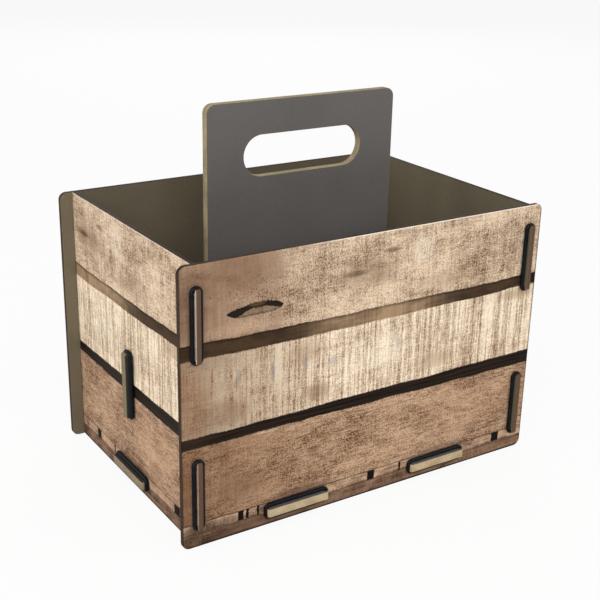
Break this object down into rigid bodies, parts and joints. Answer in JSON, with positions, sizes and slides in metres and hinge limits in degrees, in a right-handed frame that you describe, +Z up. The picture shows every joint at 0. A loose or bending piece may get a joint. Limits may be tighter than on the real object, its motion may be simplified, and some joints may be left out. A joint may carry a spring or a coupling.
{
  "type": "bottle carrier",
  "caption": "Open carrier of thin slotted boards with plank-printed walls, cross dividers, a tall middle board with a hand hole, and rubber rings round its tabs.",
  "frame": {"origin": "on the ground, under the middle of the carrier", "axes": "+X along the long walls to the right as seen from the front, +Y to the back, +Z up along the handle board"},
  "size_m": [0.301, 0.206, 0.276],
  "materials": {
    "printed_board": "matte printed planks outside, plain grey-brown inside",
    "grey_board": "matte grey faces, khaki sawn edges",
    "divider_board": "matte grey-brown",
    "rubber_ring": "satin black"
  },
  "bodies": {
    "root": {"front_panel": "printed_board", "back_panel": "printed_board", "left_end_panel": "printed_board", "right_end_panel": "printed_board", "floor_panel": "grey_board", "handle_panel": "grey_board", "left_divider": "divider_board", "right_divider": "divider_board", "ring_front_left_low": "rubber_ring", "ring_front_left_high": "rubber_ring", "ring_front_right_low": "rubber_ring", "ring_front_right_high": "rubber_ring", "ring_front_floor_left": "rubber_ring", "ring_front_floor_right": "rubber_ring", "ring_back_left_low": "rubber_ring", "ring_back_left_high": "rubber_ring", "ring_back_right_low": "rubber_ring", "ring_back_right_high": "rubber_ring", "ring_back_floor_left": "rubber_ring", "ring_back_floor_right": "rubber_ring", "ring_left_end_floor": "rubber_ring", "ring_left_end_handle": "rubber_ring", "ring_right_end_floor": "rubber_ring", "ring_right_end_handle": "rubber_ring"}
  },
  "joints": []
}
